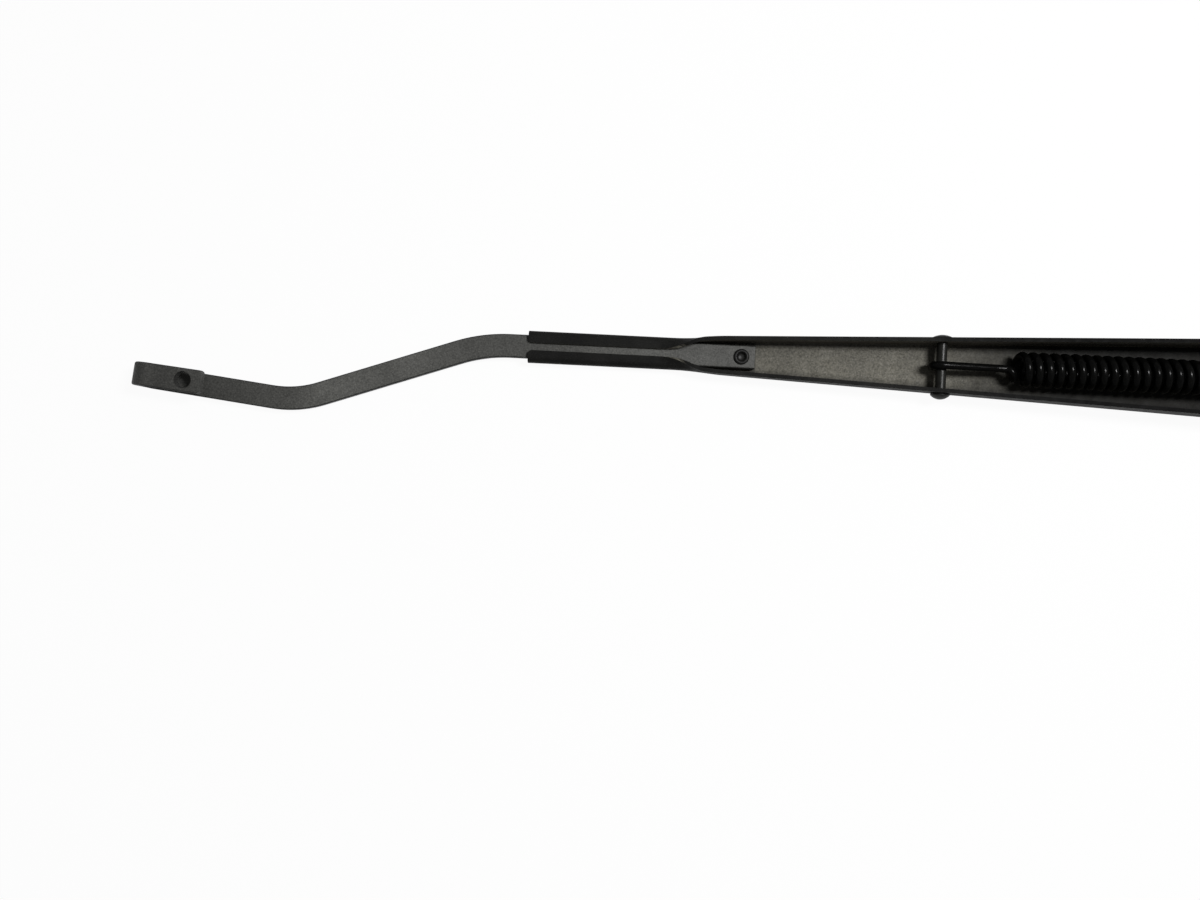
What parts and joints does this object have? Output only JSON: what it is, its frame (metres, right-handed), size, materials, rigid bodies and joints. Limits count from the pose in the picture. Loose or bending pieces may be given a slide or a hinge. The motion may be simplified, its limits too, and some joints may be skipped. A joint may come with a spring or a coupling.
{
  "type": "wiper arm",
  "caption": "Windscreen wiper arm: crimped channel with a J-hook flat bar, tension spring, bowed link and a fold hinge on a die-cast spindle head.",
  "frame": {"origin": "centre of the spindle bore at the face of the head that sits on the spindle", "axes": "+X from the blade hook to the head along the channel, +Z along the bore, out of the side that faces the glass"},
  "size_m": [0.5404, 0.0465, 0.02],
  "materials": {
    "cast_black": "satin black coat on a casting",
    "bush_plastic": "moulded",
    "pin_steel": "ground",
    "link_steel": "dark phosphated steel",
    "spring_black": "black coated wire",
    "channel_coat": "satin black powder coat, grainy",
    "rivet_black": "black coat, rubbed on the edges",
    "bar_coat": "satin black coat, rubbed thin on the face"
  },
  "bodies": {
    "head": {"head": "cast_black", "hinge_bush_left": "bush_plastic", "hinge_bush_right": "bush_plastic", "link_pin": "pin_steel"},
    "arm": {"channel": "channel_coat", "hinge_pin": "rivet_black", "cross_pin": "rivet_black", "bar": "bar_coat", "bar_rivet": "rivet_black"},
    "link": {"spring_link": "link_steel"},
    "spring": {"tension_spring": "spring_black"}
  },
  "joints": [
    {"name": "arm_fold", "type": "hinge", "parent": "head", "child": "arm", "pos_m": [-0.052, 0, -0.013], "axis": [0, -1, 0], "range_deg": [0, 65], "stiffness_Nm_per_rad": 1, "springref_deg": -57.3},
    {"name": "link_turn", "type": "hinge", "parent": "head", "child": "link", "pos_m": [-0.048, 0, -0.0065], "axis": [0, -1, 0], "range_deg": [0, 62.6]},
    {"name": "spring_stretch", "type": "slide", "parent": "link", "child": "spring", "axis": [-0.9994, 0, -0.0347], "range_m": [0, 0.0036], "deforming": ["tension_spring"]}
  ],
  "couplings": [
    {"joint": "link_turn", "follows": "arm_fold", "ratio": 0.96127},
    {"joint": "spring_stretch", "follows": "arm_fold", "m_per_rad": 0.0030747}
  ]
}
